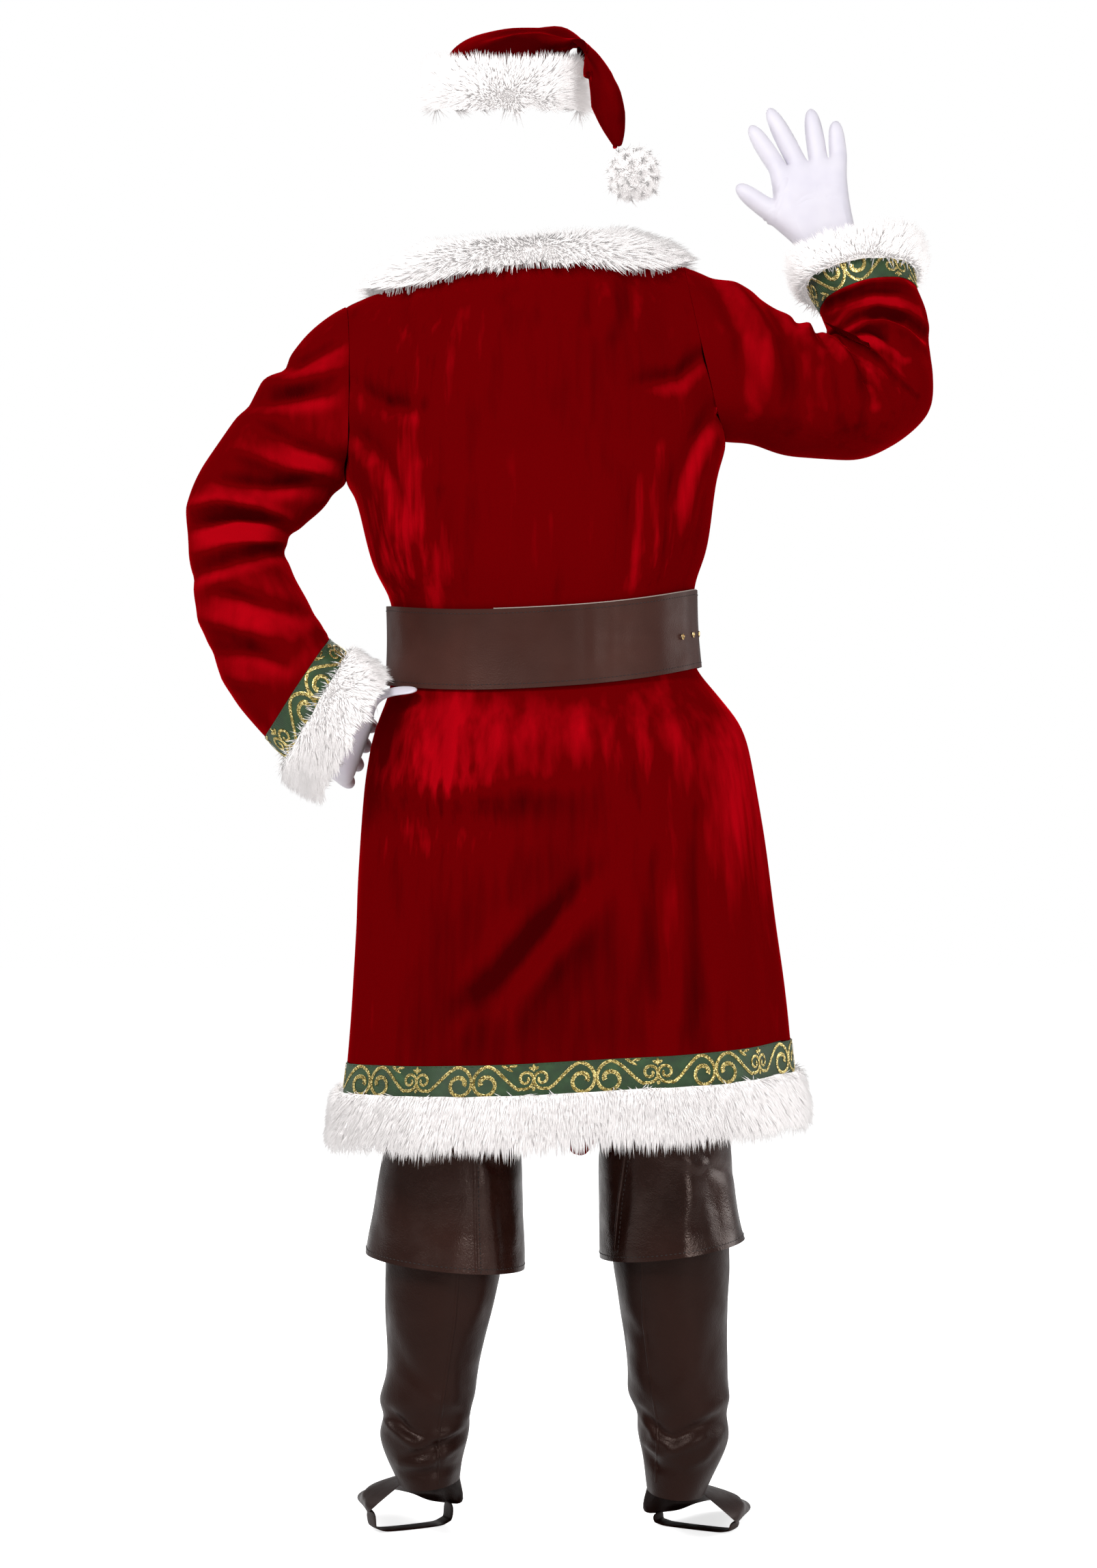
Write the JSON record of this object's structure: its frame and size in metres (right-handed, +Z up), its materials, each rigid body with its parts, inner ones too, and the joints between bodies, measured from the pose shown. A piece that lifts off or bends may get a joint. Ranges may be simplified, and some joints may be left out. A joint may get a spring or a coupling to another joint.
{
  "type": "santa suit",
  "caption": "Worn santa suit in one rigid pose: fur-trimmed coat, wide belt, trousers, cone hat, gloves and boot covers, hollow inside.",
  "frame": {"origin": "between the wearer's shoulders, on the line through the tops of the two armholes, where the coat hangs", "axes": "+X to the wearer's right, +Y to the wearer's front, +Z up"},
  "size_m": [0.9051, 0.4843, 1.8377],
  "materials": {
    "velvet": "crushed velvet",
    "ribbon": "velvet ribbon with metallic thread",
    "fur": "long pile",
    "belt_leather": "semi-gloss",
    "boot_leather": "gloss",
    "knit": "satin knit",
    "brass": "polished"
  },
  "bodies": {
    "root": {"coat_back": "velvet", "coat_front_left": "velvet", "coat_front_right": "velvet", "sleeve_left": "velvet", "sleeve_right": "velvet", "hat_crown": "velvet", "trousers_left": "velvet", "trousers_right": "velvet", "trousers_waistband": "velvet", "cuff_band_left": "ribbon", "cuff_band_right": "ribbon", "hem_band": "ribbon", "hem_fur": "fur", "cuff_fur_left": "fur", "cuff_fur_right": "fur", "collar_fur": "fur", "hat_brim_fur": "fur", "hat_pompom": "fur", "belt_strap": "belt_leather", "boot_shaft_left": "boot_leather", "boot_instep_left": "boot_leather", "boot_cuff_left": "boot_leather", "boot_strap_left": "boot_leather", "glove_left": "knit", "boot_shaft_right": "boot_leather", "boot_instep_right": "boot_leather", "boot_cuff_right": "boot_leather", "boot_strap_right": "boot_leather", "glove_right": "knit", "belt_eyelet_1": "brass", "belt_eyelet_2": "brass", "belt_eyelet_3": "brass", "belt_eyelet_4": "brass", "belt_eyelet_5": "brass", "belt_buckle": "brass", "belt_prong": "brass"}
  },
  "joints": []
}
